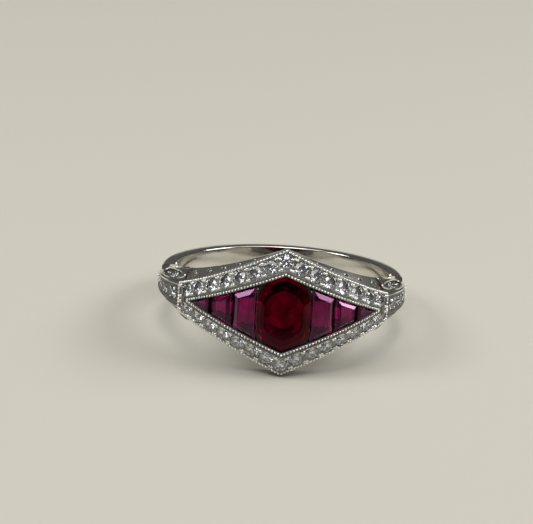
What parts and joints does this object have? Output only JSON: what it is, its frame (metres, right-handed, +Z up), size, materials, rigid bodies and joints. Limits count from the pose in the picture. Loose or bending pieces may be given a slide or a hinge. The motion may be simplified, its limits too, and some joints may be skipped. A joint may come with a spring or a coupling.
{
  "type": "cocktail ring",
  "caption": "Art Deco style cocktail ring: a lozenge of step-cut red stones in a diamond-set border, on a pierced gallery, set shoulders and a plain round shank.",
  "frame": {"origin": "on the floor, under the middle of the ring's box as it lies on its side", "axes": "+Z up; the head with its stones faces -Y; +X to the viewer's right along the head; the ring rests on the head's lower point and the shank's lower edge, so the finger's axis leans about 11 degrees towards +Y"},
  "size_m": [0.0196, 0.0204, 0.0098],
  "materials": {
    "platinum": "polished white precious metal with fine wear and beaded milgrain edges",
    "deep_ruby": "deep crimson polished corundum, step cut",
    "pink_ruby": "purplish crimson polished corundum, step cut",
    "diamond": "colourless polished diamond"
  },
  "bodies": {
    "root": {"border_diamond_lower_left_1": "diamond", "border_diamond_lower_left_2": "diamond", "border_diamond_lower_left_3": "diamond", "border_diamond_lower_left_4": "diamond", "border_diamond_lower_left_5": "diamond", "border_diamond_lower_left_6": "diamond", "border_diamond_lower_left_7": "diamond", "border_diamond_lower_point": "diamond", "border_diamond_lower_right_1": "diamond", "border_diamond_lower_right_2": "diamond", "border_diamond_lower_right_3": "diamond", "border_diamond_lower_right_4": "diamond", "border_diamond_lower_right_5": "diamond", "border_diamond_lower_right_6": "diamond", "border_diamond_lower_right_7": "diamond", "border_diamond_upper_left_1": "diamond", "border_diamond_upper_left_2": "diamond", "border_diamond_upper_left_3": "diamond", "border_diamond_upper_left_4": "diamond", "border_diamond_upper_left_5": "diamond", "border_diamond_upper_left_6": "diamond", "border_diamond_upper_left_7": "diamond", "border_diamond_upper_point": "diamond", "border_diamond_upper_right_1": "diamond", "border_diamond_upper_right_2": "diamond", "border_diamond_upper_right_3": "diamond", "border_diamond_upper_right_4": "diamond", "border_diamond_upper_right_5": "diamond", "border_diamond_upper_right_6": "diamond", "border_diamond_upper_right_7": "diamond", "border_plate": "platinum", "cheek_diamond_left_lower": "diamond", "cheek_diamond_left_upper": "diamond", "cheek_diamond_right_lower": "diamond", "cheek_diamond_right_upper": "diamond", "finger_rail": "platinum", "gallery_lower": "platinum", "gallery_upper": "platinum", "ruby_center": "deep_ruby", "ruby_channel": "platinum", "ruby_left_inner": "pink_ruby", "ruby_left_middle": "pink_ruby", "ruby_left_tip": "pink_ruby", "ruby_right_inner": "pink_ruby", "ruby_right_middle": "pink_ruby", "ruby_right_tip": "pink_ruby", "shank": "platinum", "shoulder_diamond_left_1": "diamond", "shoulder_diamond_left_2": "diamond", "shoulder_diamond_left_3": "diamond", "shoulder_diamond_right_1": "diamond", "shoulder_diamond_right_2": "diamond", "shoulder_diamond_right_3": "diamond", "shoulder_left": "platinum", "shoulder_right": "platinum"}
  },
  "joints": []
}
